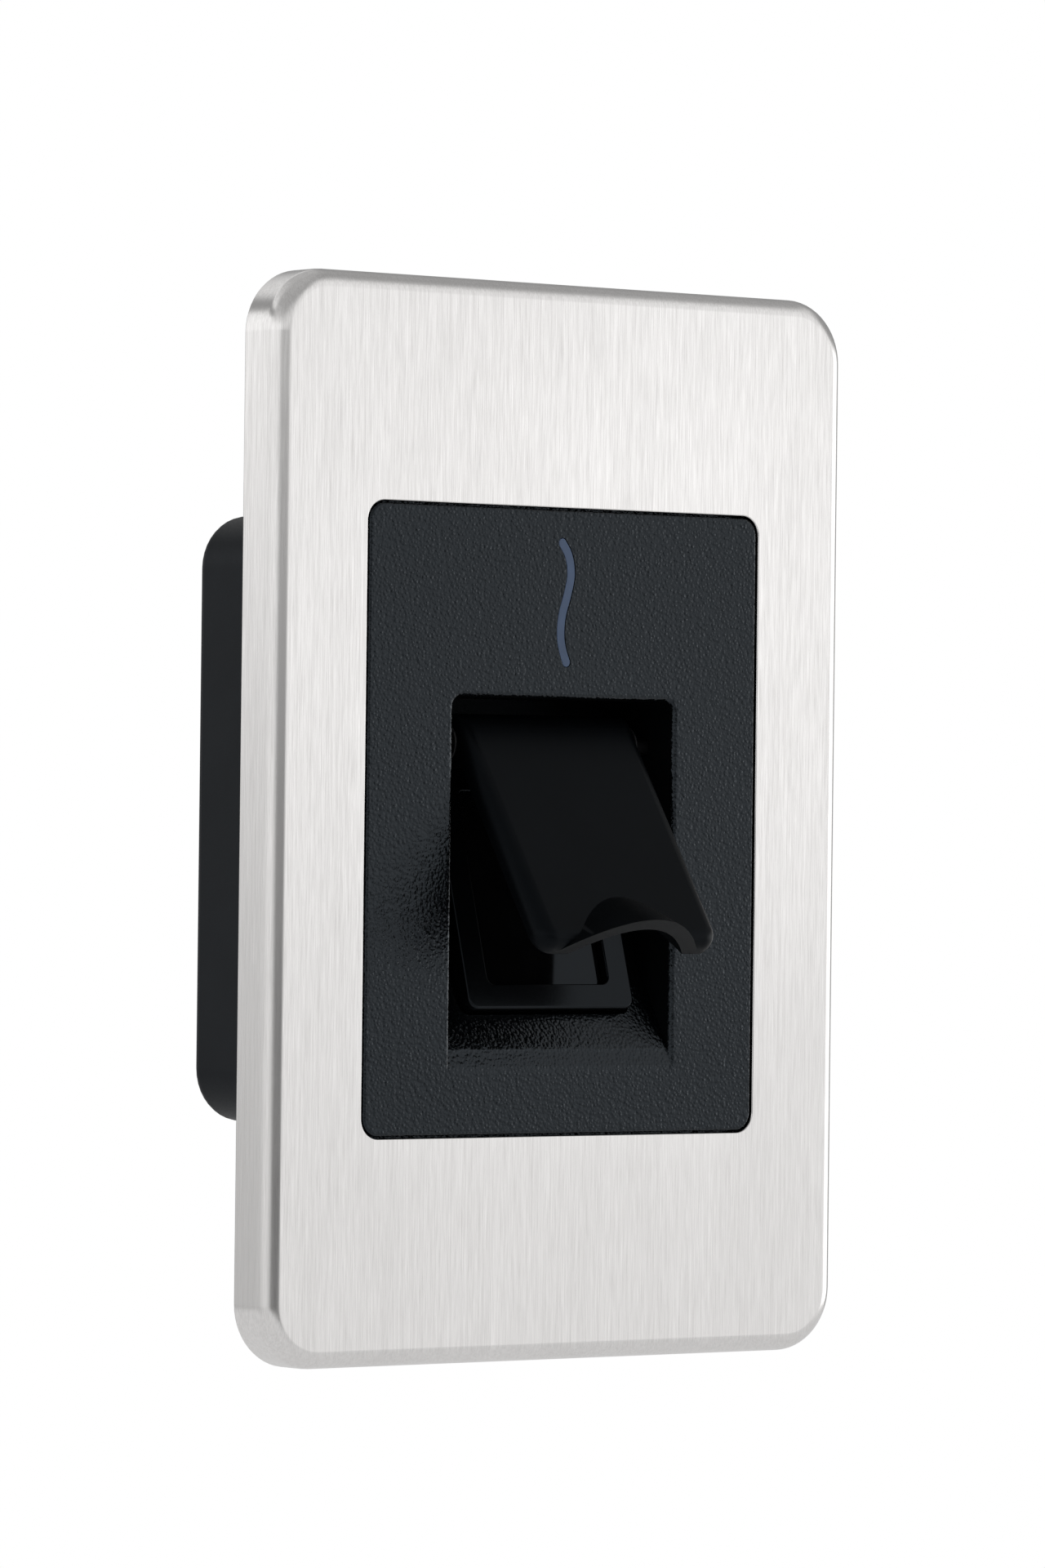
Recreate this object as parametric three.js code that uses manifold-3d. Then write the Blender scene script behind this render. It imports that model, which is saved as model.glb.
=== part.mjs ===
// Flush-mounted fingerprint scanner terminal.
// Millimetres. X to the right, Y into the wall, Z up. The wall plane is Y = 0 and the origin is the
// middle of the face plate on that plane. Outlines are drawn as seen from the front (x right, y up)
// and extruded toward the viewer, then stood up by a turn about X.
import * as THREE from "three";
import Module from "manifold-3d";
import { mergeVertices } from "three/addons/utils/BufferGeometryUtils.js";

const wasm = await Module();
wasm.setup();

// ---------------------------------------------------------------- driving dimensions
const PLATE_W = 83.5;
const PLATE_H = 124;
const PLATE_R = 7.4;
const PLATE_DEPTH = 6.2;
const PLATE_FILLET = 2.1;
const STEEL = 1.2;

const PANEL_W = 56.8;
const PANEL_H = 71.8;
const PANEL_R = 2.1;
const PANEL_GAP = 0.25;

const FLANGE_W = 68;
const FLANGE_H = 104;
const FLANGE_FRONT = 4.0;
const FLANGE_BACK = 2.9;

const BOX_W = 48.7;
const BOX_H = 71.1;
const BOX_R = 6.3;
const BOX_REAR = -33;
const BOX_FRONT = 1.9;
const BOX_WALL = 2.0;

const RECESS_W = 32.3;
const RECESS_TOP = 14.2;
const RECESS_BOTTOM = -27.3;
const RECESS_WALL = 1.6;

const MODULE_TILT = 16;
const MODULE_Y = -4.6;
const MODULE_Z = -21.5;
const FRAME_W = 24.2;
const FRAME_H = 29;
const FRAME_T = 3.0;
const WINDOW_W = 17.7;
const WINDOW_H = 23.1;
const WINDOW_LOW = 2.9;
const WINDOW_SINK = 1.1;

const COVER_TILT = 34;
const COVER_W = 26;
const COVER_T = 2.6;
const COVER_REACH = 29.4;
const HOOD_RISE = 4.55;
const HOOD_RUN = 6.1;
const HOOD_HALF = 8.5;
const HOOD_WALL = 2.0;
const BARREL_R = 3.4;
const HINGE_Y = -0.56;
const HINGE_Z = 8.9;
const PIN_R = 1.0;

const BOARD_FACE = -22.4;
const BOARD_T = 1.6;

const STUDS = [[-24, 43], [24, 43], [-24, -43], [24, -43]];
const POSTS = [[-18.9, 30.1], [18.9, 30.1], [-18.9, -30.1], [18.9, -30.1]];
const BOARD_SCREWS = [[-18, 16], [18, -16]];
const EARS = [[-14.4, 24], [14.4, 5]];
const INDICATOR_SCREWS = [[-5, 31.5], [5, 19.5]];
const BUS_AT = [-7, -24];
const POWER_AT = [11, -24];
const DIP_AT = [0, 24];
const DIP_PITCH = 2.2;
const DIP_TRAVEL = 1.4;
const SECURITY_Z = 2.2;

// ---------------------------------------------------------------- solids
const deg = Math.PI / 180;

function solid(geometry) {
  const g = geometry.clone();
  g.deleteAttribute("normal");
  g.deleteAttribute("uv");
  const merged = mergeVertices(g, 1e-5);
  const mesh = new wasm.Mesh({
    numProp: 3,
    vertProperties: new Float32Array(merged.attributes.position.array),
    triVerts: new Uint32Array(merged.index.array),
  });
  return new wasm.Manifold(mesh);
}

function geometryOf(body) {
  const mesh = body.getMesh();
  const g = new THREE.BufferGeometry();
  g.setAttribute("position", new THREE.BufferAttribute(new Float32Array(mesh.vertProperties), 3));
  g.setIndex(new THREE.BufferAttribute(new Uint32Array(mesh.triVerts), 1));
  return g;
}

function union(...bodies) {
  return bodies.flat().reduce((sum, body) => sum.add(body));
}

function cut(body, ...tools) {
  return tools.flat().reduce((rest, tool) => rest.subtract(tool), body);
}

function roundRect(w, h, r, cx = 0, cy = 0) {
  const shape = new THREE.Shape();
  const x0 = cx - w / 2;
  const y0 = cy - h / 2;
  shape.moveTo(x0 + r, y0);
  shape.lineTo(x0 + w - r, y0);
  shape.absarc(x0 + w - r, y0 + r, r, -90 * deg, 0, false);
  shape.lineTo(x0 + w, y0 + h - r);
  shape.absarc(x0 + w - r, y0 + h - r, r, 0, 90 * deg, false);
  shape.lineTo(x0 + r, y0 + h);
  shape.absarc(x0 + r, y0 + h - r, r, 90 * deg, 180 * deg, false);
  shape.lineTo(x0, y0 + r);
  shape.absarc(x0 + r, y0 + r, r, 180 * deg, 270 * deg, false);
  return shape;
}

function polygon(points) {
  return new THREE.Shape(points.map(([x, y]) => new THREE.Vector2(x, y)));
}

// An outline extruded from height z0 to height z1.
function slab(shape, z0, z1, segments = 4) {
  const options = { depth: z1 - z0, bevelEnabled: false, curveSegments: segments };
  const g = new THREE.ExtrudeGeometry(shape, options);
  g.translate(0, 0, z0);
  return solid(g);
}

function block(w, h, z0, z1, cx = 0, cy = 0) {
  const g = new THREE.BoxGeometry(w, h, z1 - z0);
  g.translate(cx, cy, (z0 + z1) / 2);
  return solid(g);
}

// A cylinder standing on height z0 and reaching height z1.
function rod(r, z0, z1, cx = 0, cy = 0, segments = 20) {
  const g = new THREE.CylinderGeometry(r, r, z1 - z0, segments);
  g.rotateX(90 * deg);
  g.translate(cx, cy, (z0 + z1) / 2);
  return solid(g);
}

// A cylinder lying along x.
function axle(r, x0, x1, cy = 0, cz = 0, segments = 32) {
  const g = new THREE.CylinderGeometry(r, r, x1 - x0, segments);
  g.rotateZ(90 * deg);
  g.translate((x0 + x1) / 2, cy, cz);
  return solid(g);
}

// A side profile in (y, z) swept along x.
function sweepX(points, x0, x1) {
  const shape = polygon(points.map(([y, z]) => [-z, y]));
  const g = new THREE.ExtrudeGeometry(shape, { depth: x1 - x0, bevelEnabled: false });
  g.rotateY(90 * deg);
  g.translate(x0, 0, 0);
  return solid(g);
}

// Rounded rectangles stacked by height, skinned into one closed body.
function stack(levels, segments = 6) {
  const rings = levels.map(({ z, w, h, r, cy = 0 }) => {
    const ring = [];
    for (let c = 0; c < 4; c += 1) {
      const sx = c === 0 || c === 3 ? 1 : -1;
      const sy = c < 2 ? 1 : -1;
      for (let k = 0; k <= segments; k += 1) {
        const a = (c + k / segments) * 90 * deg;
        ring.push([sx * (w / 2 - r) + r * Math.cos(a), cy + sy * (h / 2 - r) + r * Math.sin(a), z]);
      }
    }
    return ring;
  });
  const n = rings[0].length;
  const index = [];
  for (let i = 0; i + 1 < rings.length; i += 1) {
    for (let k = 0; k < n; k += 1) {
      const a = i * n + k;
      const b = i * n + ((k + 1) % n);
      index.push(a, b, b + n, a, b + n, a + n);
    }
  }
  const top = (rings.length - 1) * n;
  for (let k = 1; k + 1 < n; k += 1) {
    index.push(0, k + 1, k);
    index.push(top, top + k, top + k + 1);
  }
  const g = new THREE.BufferGeometry();
  g.setAttribute("position", new THREE.BufferAttribute(new Float32Array(rings.flat(2)), 3));
  g.setIndex(index);
  return solid(g);
}

// Levels of a plate whose front edge is rounded by a quarter circle.
function filleted(w, h, r, z0, z1, fillet, steps = 5) {
  const levels = [{ z: z0, w, h, r }];
  for (let k = 0; k <= steps; k += 1) {
    const a = (k / steps) * 90 * deg;
    const inset = fillet * (1 - Math.cos(a));
    const z = z1 - fillet + fillet * Math.sin(a);
    levels.push({ z, w: w - 2 * inset, h: h - 2 * inset, r: Math.max(r - inset, 0.05) });
  }
  return levels;
}

function mirrored(levels) {
  return levels.map((level) => ({ ...level, z: -level.z })).reverse();
}

// ---------------------------------------------------------------- materials
const material = (name, color, metalness, roughness) => {
  const m = new THREE.MeshStandardMaterial({ color, metalness, roughness, flatShading: true });
  m.name = name;
  return m;
};
const STAINLESS = material("brushed stainless steel", 0xd8d5d0, 1.0, 0.35);
const GRAINED = material("grained black ABS", 0x2a2e33, 0.0, 0.6);
const SATIN = material("satin black ABS", 0x1d1f22, 0.0, 0.5);
const MATT = material("matt black PC-ABS", 0x23272b, 0.0, 0.55);
const DIFFUSER = material("blue-grey diffusing polycarbonate", 0x465a78, 0.0, 0.35);
const GLASS = material("dark optical glass", 0x101214, 0.0, 0.05);
const LENS = material("clear lens glass", 0xbfd0d8, 0.0, 0.05);
const RUBBER = material("black silicone rubber", 0x191919, 0.0, 0.9);
const ACETAL = material("black acetal", 0x1a1a1b, 0.0, 0.5);
const ZINC = material("zinc-plated steel", 0xb9bcc0, 1.0, 0.4);
const BLACK_OXIDE = material("black oxide steel", 0x2a2a2b, 1.0, 0.5);
const LAMINATE = material("green circuit laminate", 0x1f5a36, 0.0, 0.5);
const EPOXY = material("black epoxy package", 0x17181a, 0.0, 0.6);
const LED_WHITE = material("white LED package", 0xf0ead2, 0.0, 0.4);
const GREEN_PLUG = material("green polyamide", 0x2d7d46, 0.0, 0.5);
const WHITE_PLUG = material("white polyamide", 0xe9e7e0, 0.0, 0.5);
const DIP_RED = material("red polybutylene", 0xa3262a, 0.0, 0.45);
const CAN = material("aluminium can", 0xc4c8cc, 1.0, 0.3);
const FERRITE = material("ferrite", 0x3a3b3d, 0.1, 0.7);
const FILM = material("polyimide flex", 0xb8722c, 0.0, 0.4);

const terminal = new THREE.Group();
terminal.name = "fingerprint_scanner_terminal";

// Every piece stands upright with its own place; tilt leans its face back from the vertical.
function piece(name, body, look, [x, y, z] = [0, 0, 0], tilt = 0) {
  const mesh = new THREE.Mesh(geometryOf(body), look);
  mesh.name = name;
  mesh.position.set(x, y, z);
  mesh.rotation.set((90 - tilt) * deg, 0, 0);
  terminal.add(mesh);
  return mesh;
}

// A pan-head screw: the head rests on height 0 and the shank runs toward -z (facing 1) or +z (facing -1).
function screw(facing, shank, length, head, headT) {
  const span = (a, b) => (facing > 0 ? [a, b] : [-b, -a]);
  const bar = (w, h) => block(w, h, ...span(headT * 0.45, headT + 1));
  return cut(
    union(rod(shank, ...span(-length, 0.05), 0, 0, 10), rod(head, ...span(0, headT), 0, 0, 16)),
    bar(head * 1.2, shank * 0.4),
    bar(shank * 0.4, head * 1.2),
  );
}

// ---------------------------------------------------------------- face plate and its fixings
const shell = cut(
  stack(filleted(PLATE_W, PLATE_H, PLATE_R, 0, PLATE_DEPTH, PLATE_FILLET, 5), 8),
  stack(filleted(PLATE_W - 2 * STEEL, PLATE_H - 2 * STEEL, PLATE_R - STEEL, -1,
    PLATE_DEPTH - STEEL, PLATE_FILLET - STEEL, 3), 6),
  slab(roundRect(PANEL_W + 2 * PANEL_GAP, PANEL_H + 2 * PANEL_GAP, PANEL_R + PANEL_GAP), 0, 9),
);
// A cylinder lying along y, used for the set screw that locks the plate from below.
function upright(r, y0, y1, cz, segments = 20) {
  const g = new THREE.CylinderGeometry(r, r, y1 - y0, segments);
  g.translate(0, (y0 + y1) / 2, cz);
  return solid(g);
}
piece("face_plate", union(
  cut(shell, upright(1.75, -PLATE_H / 2 - 2, -PLATE_H / 2 + 3, SECURITY_Z)),
  STUDS.map(([x, y]) => rod(1.25, 1.75, PLATE_DEPTH - STEEL + 0.2, x, y, 16)),
), STAINLESS);

STUDS.forEach(([x, y], i) => {
  const nut = new THREE.CylinderGeometry(2.5, 2.5, 1.0, 6);
  nut.rotateX(90 * deg);
  nut.translate(0, 0, 0.5);
  piece(`stud_nut_${i + 1}`, cut(solid(nut), rod(1.4, -1, 2, 0, 0, 16)), ZINC, [x, -1.78, y]);
});

piece("panel_seal", cut(
  slab(roundRect(PANEL_W + 6.6, PANEL_H + 6.6, 4), 4.2, 4.8),
  slab(roundRect(PANEL_W + 2.2, PANEL_H + 2.2, 3), 4, 5),
), RUBBER);

// ---------------------------------------------------------------- front bezel
const FACE = PLATE_DEPTH;
const recessProfile = [
  [RECESS_TOP, FACE + 4],
  [RECESS_TOP, FACE],
  [RECESS_TOP - 0.3, FACE - 13.4],
  [1.5, FACE - 13.4],
  [-12.9, FACE - 7.4],
  [-18.3, FACE - 5.0],
  [-24.5, FACE - 1.5],
  [-26.2, FACE - 0.62],
  [RECESS_BOTTOM, FACE - 0.22],
  [RECESS_BOTTOM - 1.2, FACE],
  [RECESS_BOTTOM - 1.2, FACE + 4],
];
const tubProfile = [
  [RECESS_TOP + RECESS_WALL, FACE - 2],
  [RECESS_TOP + RECESS_WALL, FACE - 13.4 - RECESS_WALL],
  [1.1, FACE - 13.4 - RECESS_WALL],
  [-13.7, FACE - 8.9],
  [-19.2, FACE - 6.5],
  [-26.6, FACE - 2.9],
  [-29.4, FACE - 2],
];
const half = RECESS_W / 2;
const outer = half + RECESS_WALL;
// Tool standing in the plane of the sensor frame, brought into the bezel's own front-view frame.
function fromModule(geometry) {
  const g = geometry.clone();
  g.rotateX(-MODULE_TILT * deg);
  g.translate(0, MODULE_Z, -MODULE_Y);
  return g;
}
function moduleSlab(shape, z0, z1) {
  const g = new THREE.ExtrudeGeometry(shape, { depth: z1 - z0, bevelEnabled: false, curveSegments: 4 });
  g.translate(0, 0, z0);
  return solid(fromModule(g));
}
function moduleRod(r, z0, z1, cx, cy, segments = 20) {
  const g = new THREE.CylinderGeometry(r, r, z1 - z0, segments);
  g.rotateX(90 * deg);
  g.translate(cx, cy, (z0 + z1) / 2);
  return solid(fromModule(g));
}
const bosses = POSTS.map(([x, y]) => rod(2.9, -8, FLANGE_BACK + 0.5, x, y, 24));
const hingeBosses = [-1, 1].map((s) => axle(2.6, s * 15.0 - 1.4, s * 15.0 + 1.4, HINGE_Z, -HINGE_Y, 24));
const earBosses = EARS.map(([x, y]) => moduleRod(2.1, -9.1, -4.4, x, y));
const indicatorBosses = INDICATOR_SCREWS.map(([x, y]) => rod(1.9, -1.1, FLANGE_FRONT, x, y, 16));
const stripPoints = [
  [-0.6, 32.1], [0.5, 30.0], [0.68, 28.6], [0.42, 27.0], [-0.02, 25.5],
  [-0.5, 24.0], [-0.74, 22.4], [-0.7, 20.9], [-0.38, 19.6], [0.1, 18.4],
].map(([x, y]) => new THREE.Vector2(x, y));
const stripCurve = new THREE.SplineCurve(stripPoints);
// The wavy light strip: a constant-width ribbon with round ends along the curve.
function wavyStrip(width, steps = 20, caps = 4) {
  const left = [];
  const right = [];
  for (let k = 0; k <= steps; k += 1) {
    const p = stripCurve.getPoint(k / steps);
    const t = stripCurve.getTangent(k / steps);
    left.push([p.x - t.y * width / 2, p.y + t.x * width / 2]);
    right.push([p.x + t.y * width / 2, p.y - t.x * width / 2]);
  }
  const cap = (u, turn) => {
    const p = stripCurve.getPoint(u);
    const t = stripCurve.getTangent(u);
    const from = Math.atan2(t.x, -t.y) + turn;
    return Array.from({ length: caps }, (_, k) => {
      const a = from - ((k + 1) / (caps + 1)) * Math.PI;
      return [p.x + Math.cos(a) * width / 2, p.y + Math.sin(a) * width / 2];
    });
  };
  return polygon([...left, ...cap(1, 0), ...right.reverse(), ...cap(0, Math.PI)]);
}
const hookSlots = [-20, 20].map((x) => slab(roundRect(7, 4.6, 0.5, x, 47.3), 2, 4.5, 3));
const bezelBody = union(
  stack(filleted(PANEL_W, PANEL_H, PANEL_R, 3.5, FACE, 0.35, 3), 5),
  slab(roundRect(FLANGE_W, FLANGE_H, 6), FLANGE_BACK, FLANGE_FRONT),
  sweepX(tubProfile, -outer, outer),
  bosses,
  earBosses,
  indicatorBosses,
);
const bezelHollow = cut(
  bezelBody,
  sweepX(recessProfile, -half, half),
  moduleSlab(roundRect(FRAME_W + 0.8, FRAME_H + 0.8, 1.4, 0, FRAME_H / 2), -9, 9),
);
piece("front_bezel", cut(
  union(bezelHollow, hingeBosses),
  axle(PIN_R + 0.08, -17.2, 17.2, HINGE_Z, -HINGE_Y, 24),
  slab(wavyStrip(1.5), -5, 9),
  POSTS.map(([x, y]) => rod(1.1, -9, 1.5, x, y, 16)),
  EARS.map(([x, y]) => moduleRod(0.85, -10, -5.9, x, y, 12)),
  INDICATOR_SCREWS.map(([x, y]) => rod(0.7, -3, 2.6, x, y, 12)),
  STUDS.map(([x, y]) => rod(1.55, 2, 5, x, y, 16)),
  hookSlots,
), GRAINED);

piece("light_guide", slab(wavyStrip(1.16), 0.2, FACE - 0.03), DIFFUSER);

// ---------------------------------------------------------------- flip cover and hinge
// Drawn about the hinge axis: y up along the closed face, z out of it.
function coverOutline() {
  const w = COVER_W / 2;
  const tip = -COVER_REACH;
  const shape = new THREE.Shape();
  shape.moveTo(-w, 1);
  shape.lineTo(-w, tip + 2.2);
  shape.quadraticCurveTo(-w, tip, -w + 2.2, tip);
  shape.lineTo(w - 2.2, tip);
  shape.quadraticCurveTo(w, tip, w, tip + 2.2);
  shape.lineTo(w, 1);
  return shape;
}

// The thumb hood: a tunnel with a parabolic roof whose crest climbs out of the face toward the lip.
// A share of 0 is where the crest leaves the face and 1 is the lip.
function tunnel(crest, fall, half, from, to) {
  const roof = [];
  for (let k = -10; k <= 10; k += 1) {
    const x = (k / 10) * 12;
    roof.push([x, crest - fall * (x / half) ** 2]);
  }
  roof.push([12, -16]);
  roof.push([-12, -16]);
  const g = new THREE.ExtrudeGeometry(polygon(roof), { depth: to - from, bevelEnabled: false });
  const p = g.attributes.position;
  for (let k = 0; k < p.count; k += 1) {
    const share = from + p.getZ(k);
    p.setXYZ(k, p.getX(k), HOOD_RUN * (1 - share) - COVER_REACH, p.getY(k) + HOOD_RISE * share);
  }
  return solid(g);
}
const coverBack = BARREL_R - COVER_T;
// Trimming solid with rounded long edges and a rolled hinge end.
const rollProfile = [];
for (let k = 0; k <= 14; k += 1) {
  const a = (k / 14) * 200 * deg;
  rollProfile.push([BARREL_R * Math.sin(a), BARREL_R * Math.cos(a)]);
}
rollProfile.push([-3.2, -0.4]);
rollProfile.push([-3.6, coverBack]);
rollProfile.push([-40, coverBack]);
rollProfile.push([-40, BARREL_R + 0.6]);
rollProfile.push([0, BARREL_R + 0.6]);
const sideRound = filleted(COVER_W, 90, 1.5, -6, BARREL_R, 1.0, 4).map((level) => ({ ...level, r: 1.0 }));
const rolled = sweepX(rollProfile, -COVER_W / 2, COVER_W / 2);
const tipRound = union(slab(coverOutline(), -1, BARREL_R + 1, 8), block(COVER_W, 12, -8, 8, 0, 2.5));
const hood = tunnel(BARREL_R, HOOD_RISE, HOOD_HALF, -0.5, 1).intersect(
  block(2 * HOOD_HALF + 4, 14, coverBack + 0.1, 12, 0, 7 - COVER_REACH),
);
const thumbGap = tunnel(BARREL_R - HOOD_WALL, HOOD_RISE + 0.6, HOOD_HALF - 0.1, -1, 1.5);
const coverBody = cut(
  union(rolled.intersect(tipRound).intersect(stack(sideRound, 4)), hood),
  thumbGap,
  axle(PIN_R + 0.08, -20, 20, 0, 0, 24),
  block(COVER_W - 9, 9, -9, 0.6, 0, -1),
);
piece("flip_cover", coverBody, SATIN, [0, HINGE_Y, HINGE_Z], COVER_TILT);
piece("hinge_pin", axle(PIN_R, -17.0, 17.0, 0, 0, 24), BLACK_OXIDE, [0, HINGE_Y, HINGE_Z]);
[["left", -1], ["right", 1]].forEach(([side, s]) => {
  const ring = cut(axle(2.4, -0.15, 0.15, 0, 0, 24), axle(PIN_R + 0.1, -1, 1, 0, 0, 24));
  piece(`friction_washer_${side}`, ring, ACETAL, [s * 13.3, HINGE_Y, HINGE_Z]);
});

// ---------------------------------------------------------------- optical module
const MODULE = [0, MODULE_Y, MODULE_Z];
const mid = WINDOW_LOW + WINDOW_H / 2;
piece("sensor_frame", cut(
  stack(filleted(FRAME_W, FRAME_H, 1.3, -FRAME_T, 0, 0.4, 3).map((l) => ({ ...l, cy: FRAME_H / 2 })), 4),
  slab(roundRect(WINDOW_W, WINDOW_H, 1.0, 0, mid), -9, 9, 4),
), SATIN, MODULE, MODULE_TILT);

const prismHalf = WINDOW_W / 2 - 0.2;
const prismLow = WINDOW_LOW + 0.2;
const prismHigh = WINDOW_LOW + WINDOW_H - 0.2;
piece("platen_prism", sweepX([
  [prismLow, -WINDOW_SINK],
  [prismHigh, -WINDOW_SINK],
  [prismHigh, -3.4],
  [prismLow + 9, -9.2],
  [prismLow, -9.2],
], -prismHalf, prismHalf).intersect(
  slab(roundRect(2 * prismHalf, WINDOW_H - 0.4, 0.9, 0, mid), -12, 0, 4),
), GLASS, MODULE, MODULE_TILT);

const LENS_AT = mid + 3;
const ears = union(EARS.map(([x, y]) => slab(roundRect(6.4, 5, 1.2, x, y), -11, -9.4, 4)));
piece("optics_chamber", cut(
  union(slab(roundRect(FRAME_W - 0.6, FRAME_H - 0.6, 1, 0, FRAME_H / 2), -15, -FRAME_T - 0.3, 4), ears),
  slab(roundRect(WINDOW_W + 0.2, WINDOW_H + 0.2, 0.8, 0, mid), -12.4, 0, 4),
  rod(4.2, -16, -12, 0, LENS_AT),
  EARS.map(([x, y]) => rod(1.15, -12, -8, x, y, 16)),
  [[-9.6, 26.4], [9.6, 2.4]].map(([x, y]) => rod(0.6, -16, -12.2, x, y, 12)),
), MATT, MODULE, MODULE_TILT);

// A point given in the plane of the sensor frame: x across, y up along it, z out of it.
function inModule(x, y, z) {
  const a = MODULE_TILT * deg;
  return [
    x,
    MODULE_Y + y * Math.sin(a) - z * Math.cos(a),
    MODULE_Z + y * Math.cos(a) + z * Math.sin(a),
  ];
}

piece("lens_barrel", cut(rod(3.9, -1.8, 1.8), rod(2.9, -3, 3)), MATT,
  inModule(0, LENS_AT, -11.8), MODULE_TILT);
const lensProfile = [[0, -0.9], [1.4, -0.78], [2.6, -0.35], [2.6, 0.35], [1.4, 0.78], [0, 0.9]];
const lens = new THREE.LatheGeometry(lensProfile.map(([x, y]) => new THREE.Vector2(x, y)), 20);
lens.rotateX(90 * deg);
piece("lens_element", solid(lens), LENS, inModule(0, LENS_AT, -11.6), MODULE_TILT);

const CORNERS = [[-9.6, 26.4], [9.6, 2.4]];
piece("image_sensor_board", cut(
  slab(roundRect(22.6, 27.6, 0.8, 0, FRAME_H / 2), -16.4, -15.3, 3),
  CORNERS.map(([x, y]) => rod(0.75, -20, -10, x, y, 12)),
), LAMINATE, MODULE, MODULE_TILT);
piece("image_sensor_chip", block(5, 5, -0.45, 0.45), EPOXY, inModule(0, LENS_AT, -14.55), MODULE_TILT);
CORNERS.forEach(([x, y], i) => {
  const body = screw(-1, 0.5, 3.4, 1.2, 0.6);
  piece(`sensor_board_screw_${i + 1}`, body, ZINC, inModule(x, y, -16.6), MODULE_TILT);
});
EARS.forEach(([x, y], i) => {
  const body = screw(-1, 0.75, 4.6, 1.7, 1.0);
  piece(`module_screw_${i + 1}`, body, ZINC, inModule(x, y, -11.2), MODULE_TILT);
});
piece("illumination_board", block(15, 6, -0.4, 0.4), LAMINATE, inModule(0, 7, -11.7), MODULE_TILT);
[-4.5, 4.5].forEach((x, i) => {
  const body = block(2, 1.6, -0.45, 0.45);
  piece(`illumination_led_${i + 1}`, body, LED_WHITE, inModule(x, 7, -10.6), MODULE_TILT);
});

// ---------------------------------------------------------------- indicator light behind the wavy strip
piece("indicator_board", cut(
  slab(roundRect(14, 17, 0.8, 0, 24.9), -2.4, -1.4, 3),
  INDICATOR_SCREWS.map(([x, y]) => rod(0.8, -4, 0, x, y, 12)),
), LAMINATE);
[[-0.6, 21.5], [0.5, 29]].forEach(([x, y], i) => {
  piece(`indicator_led_${i + 1}`, block(1.6, 1.6, 0, 1), LED_WHITE, [x, 1.2, y]);
});
INDICATOR_SCREWS.forEach(([x, y], i) => {
  piece(`indicator_screw_${i + 1}`, screw(-1, 0.55, 4.4, 1.3, 0.8), ZINC, [x, 2.65, y]);
});

// ---------------------------------------------------------------- rear housing
const DIP_WINDOW = [12.4, 8.4];
const socketWindow = ([x, y], w, h) => block(w, h, BOX_REAR - 1, -30, x, y);
const housing = cut(
  stack(mirrored(filleted(BOX_W, BOX_H, BOX_R, -BOX_FRONT, -BOX_REAR, 1.6, 3)), 5),
  slab(roundRect(BOX_W - 2 * BOX_WALL, BOX_H - 2 * BOX_WALL, BOX_R - BOX_WALL), BOX_REAR + BOX_WALL, 4),
);
const posts = POSTS.map(([x, y]) => rod(3.6, BOX_REAR + BOX_WALL - 0.5, -8.3, x, y, 24));
const postTrim = stack(mirrored(filleted(BOX_W, BOX_H, BOX_R, -BOX_FRONT, -BOX_REAR, 1.6, 3)), 5);
const standoffs = BOARD_SCREWS.map(([x, y]) => rod(2.3, BOX_REAR + 1.5, -24.3, x, y, 20));
piece("rear_housing", cut(
  union(housing, union(posts).intersect(postTrim), standoffs),
  POSTS.map(([x, y]) => rod(2.5, BOX_REAR - 1, -12, x, y, 24)),
  POSTS.map(([x, y]) => rod(1.35, -14, -7, x, y, 16)),
  BOARD_SCREWS.map(([x, y]) => rod(0.9, -30, -24, x, y, 12)),
  socketWindow(BUS_AT, 16.4, 9.4),
  socketWindow(POWER_AT, 9.0, 9.4),
  socketWindow(DIP_AT, ...DIP_WINDOW),
), MATT);

piece("housing_gasket", cut(
  slab(roundRect(BOX_W - 0.6, BOX_H - 0.6, 6), 2.2, 2.65),
  slab(roundRect(BOX_W - 3.4, BOX_H - 3.4, 4.6), 2, 3),
), RUBBER);

POSTS.forEach(([x, y], i) => {
  piece(`housing_screw_${i + 1}`, screw(-1, 1.0, 12.7, 2.1, 1.5), ZINC, [x, 12.3, y]);
});

// ---------------------------------------------------------------- main board and what it carries
const corner = (sx, sy) => block(8, 8, -30, -10, sx * 18.9, sy * 30.1);
piece("main_board", cut(
  block(43.8, 66.2, BOARD_FACE - BOARD_T, BOARD_FACE),
  [corner(-1, 1), corner(1, 1), corner(-1, -1), corner(1, -1)],
  BOARD_SCREWS.map(([x, y]) => rod(1.1, -30, -10, x, y, 12)),
), LAMINATE);
BOARD_SCREWS.forEach(([x, y], i) => {
  piece(`board_screw_${i + 1}`, screw(1, 0.75, 6, 1.8, 1.0), ZINC, [x, -BOARD_FACE - 0.3, y]);
});

const onBoard = -BOARD_FACE - 0.3;
const chips = [
  ["mcu_chip", 10, 10, 1.4, -7, 8],
  ["memory_chip", 5, 6, 1.2, 7, 12],
  ["transceiver_chip", 5, 4, 1.4, -10, -14],
];
chips.forEach(([name, w, h, t, x, y]) => {
  piece(name, block(w, h, 0, t), EPOXY, [x, onBoard, y]);
});
piece("crystal_can", slab(roundRect(7, 3, 1.45), 0, 2.6, 4), CAN, [-8, onBoard, 18]);
piece("capacitor", cut(rod(3.15, 0, 6.6), rod(2.5, 6.3, 7)), CAN, [-15, onBoard, 24]);
piece("inductor", cut(slab(roundRect(7, 7, 1.4), 0, 4, 3), rod(2.2, 3.6, 5)), FERRITE, [16, onBoard, 2]);
piece("buzzer", cut(rod(4.5, 0, 4.5), rod(0.9, 2, 5, 0, 0, 12)), EPOXY, [11.5, onBoard, 24.5]);

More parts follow.
